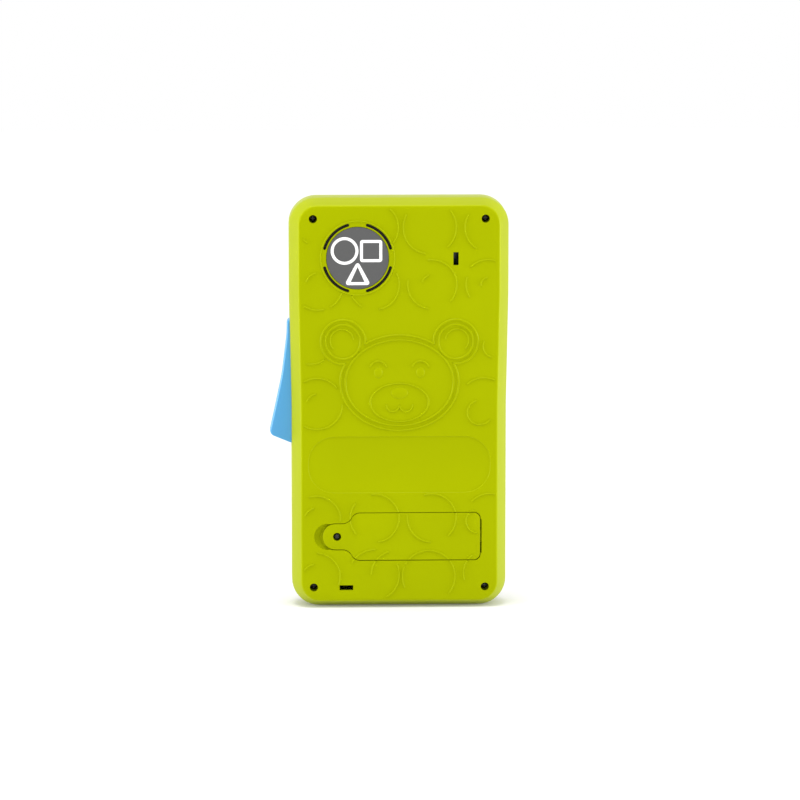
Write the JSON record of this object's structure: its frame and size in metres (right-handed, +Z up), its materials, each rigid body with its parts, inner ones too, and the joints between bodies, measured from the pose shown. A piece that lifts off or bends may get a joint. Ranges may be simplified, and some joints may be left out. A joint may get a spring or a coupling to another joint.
{
  "type": "toy tablet",
  "caption": "Child's toy tablet with a rounded lime case, a squeeze lever on its side, a screwed battery door and a round speaker grille in its back, and a screen with push keys.",
  "frame": {"origin": "middle of the flat strip along the bottom edge of the case, on which the tablet stands upright", "axes": "+Z up along the length, towards the speaker end; +Y out of the screen; the lever is on the -X side"},
  "size_m": [0.119, 0.0277, 0.2053],
  "materials": {
    "lime_abs": "moulded, satin, light spark texture",
    "blue_abs": "moulded, semi-gloss",
    "badge_print": "dark grey disc with white pad-printed plain shapes",
    "white_abs": "moulded, satin",
    "clear_styrene": "moulded clear, polished",
    "printed_card": "printed picture card",
    "silicone": "moulded, matt",
    "plated_steel": "zinc or nickel plated",
    "green_laminate": "solder-masked board",
    "black_plastic": "moulded, matt",
    "paper_cone": "pressed paper pulp",
    "cell_wrap": "shrink-wrapped steel can, plain",
    "red_abs": "moulded, semi-gloss",
    "yellow_abs": "moulded, semi-gloss",
    "green_abs": "moulded, semi-gloss",
    "purple_abs": "moulded, semi-gloss",
    "orange_abs": "moulded, semi-gloss",
    "red_wire": "PVC insulation",
    "black_wire": "PVC insulation"
  },
  "bodies": {
    "case": {"back_shell": "lime_abs", "front_shell": "lime_abs", "case_screw_bottom_left": "plated_steel", "case_screw_bottom_right": "plated_steel", "case_screw_top_left": "plated_steel", "case_screw_top_right": "plated_steel", "battery_cell_lower": "cell_wrap", "battery_cell_upper": "cell_wrap", "contact_negative": "plated_steel", "contact_positive": "plated_steel", "contact_pair": "plated_steel", "lever_pin": "plated_steel", "lever_spring": "plated_steel", "lever_switch": "black_plastic", "lever_board": "green_laminate", "speaker_badge": "badge_print", "speaker_gasket": "black_plastic", "speaker_basket": "plated_steel", "speaker_cone": "paper_cone", "speaker_magnet": "plated_steel", "speaker_retainer": "black_plastic", "speaker_screw_left": "plated_steel", "speaker_screw_right": "plated_steel", "face_plate": "white_abs", "screen_lens": "clear_styrene", "display_card": "printed_card", "light_box": "white_abs", "led_left": "clear_styrene", "led_middle": "clear_styrene", "led_right": "clear_styrene", "key_membrane": "silicone", "slide_switch": "plated_steel", "main_board": "green_laminate", "board_screw_bottom_left": "plated_steel", "board_screw_bottom_right": "plated_steel", "board_screw_top_left": "plated_steel", "board_screw_top_right": "plated_steel", "chip_blob": "black_plastic", "capacitor": "black_plastic", "battery_wire_negative": "black_wire", "battery_wire_positive": "red_wire", "speaker_wire_positive": "red_wire", "speaker_wire_negative": "black_wire", "lever_wire_signal": "red_wire", "lever_wire_ground": "black_wire"},
    "battery_door": {"battery_door": "lime_abs"},
    "door_screw": {"battery_door_screw": "plated_steel"},
    "side_lever": {"side_lever": "blue_abs"},
    "home_button": {"home_button": "orange_abs"},
    "power_slider": {"power_slider": "red_abs"},
    "app_key_1": {"app_key_1": "red_abs"},
    "app_key_2": {"app_key_2": "yellow_abs"},
    "app_key_3": {"app_key_3": "blue_abs"},
    "app_key_4": {"app_key_4": "green_abs"},
    "app_key_5": {"app_key_5": "purple_abs"},
    "app_key_6": {"app_key_6": "orange_abs"},
    "app_key_7": {"app_key_7": "blue_abs"},
    "app_key_8": {"app_key_8": "red_abs"},
    "app_key_9": {"app_key_9": "green_abs"}
  },
  "joints": [
    {"name": "door_swing", "type": "hinge", "parent": "case", "child": "battery_door", "pos_m": [0.0396, -0.013, 0.036], "axis": [0, 0, 1], "range_deg": [0, 35]},
    {"name": "door_screw_turn", "type": "hinge", "parent": "battery_door", "child": "door_screw", "pos_m": [-0.0311, -0.0116, 0.036], "axis": [0, -1, 0], "continuous": true},
    {"name": "lever_press", "type": "hinge", "parent": "case", "child": "side_lever", "pos_m": [-0.049, 0.0015, 0.141], "axis": [0, -1, 0], "range_deg": [0, 7], "stiffness_Nm_per_rad": 1.2, "deforming": ["lever_spring"]},
    {"name": "app_key_1_press", "type": "slide", "parent": "case", "child": "app_key_1", "axis": [0, -1, 0], "range_m": [0, 0.0012], "stiffness_N_per_m": 600, "deforming": ["key_membrane"]},
    {"name": "app_key_2_press", "type": "slide", "parent": "case", "child": "app_key_2", "axis": [0, -1, 0], "range_m": [0, 0.0012], "stiffness_N_per_m": 600, "deforming": ["key_membrane"]},
    {"name": "app_key_3_press", "type": "slide", "parent": "case", "child": "app_key_3", "axis": [0, -1, 0], "range_m": [0, 0.0012], "stiffness_N_per_m": 600, "deforming": ["key_membrane"]},
    {"name": "app_key_4_press", "type": "slide", "parent": "case", "child": "app_key_4", "axis": [0, -1, 0], "range_m": [0, 0.0012], "stiffness_N_per_m": 600, "deforming": ["key_membrane"]},
    {"name": "app_key_5_press", "type": "slide", "parent": "case", "child": "app_key_5", "axis": [0, -1, 0], "range_m": [0, 0.0012], "stiffness_N_per_m": 600, "deforming": ["key_membrane"]},
    {"name": "app_key_6_press", "type": "slide", "parent": "case", "child": "app_key_6", "axis": [0, -1, 0], "range_m": [0, 0.0012], "stiffness_N_per_m": 600, "deforming": ["key_membrane"]},
    {"name": "app_key_7_press", "type": "slide", "parent": "case", "child": "app_key_7", "axis": [0, -1, 0], "range_m": [0, 0.0012], "stiffness_N_per_m": 600, "deforming": ["key_membrane"]},
    {"name": "app_key_8_press", "type": "slide", "parent": "case", "child": "app_key_8", "axis": [0, -1, 0], "range_m": [0, 0.0012], "stiffness_N_per_m": 600, "deforming": ["key_membrane"]},
    {"name": "app_key_9_press", "type": "slide", "parent": "case", "child": "app_key_9", "axis": [0, -1, 0], "range_m": [0, 0.0012], "stiffness_N_per_m": 600, "deforming": ["key_membrane"]},
    {"name": "home_press", "type": "slide", "parent": "case", "child": "home_button", "axis": [0, -1, 0], "range_m": [0, 0.0012], "stiffness_N_per_m": 600, "deforming": ["key_membrane"]},
    {"name": "power_slide", "type": "slide", "parent": "case", "child": "power_slider", "axis": [1, 0, 0], "range_m": [0, 0.007]}
  ]
}
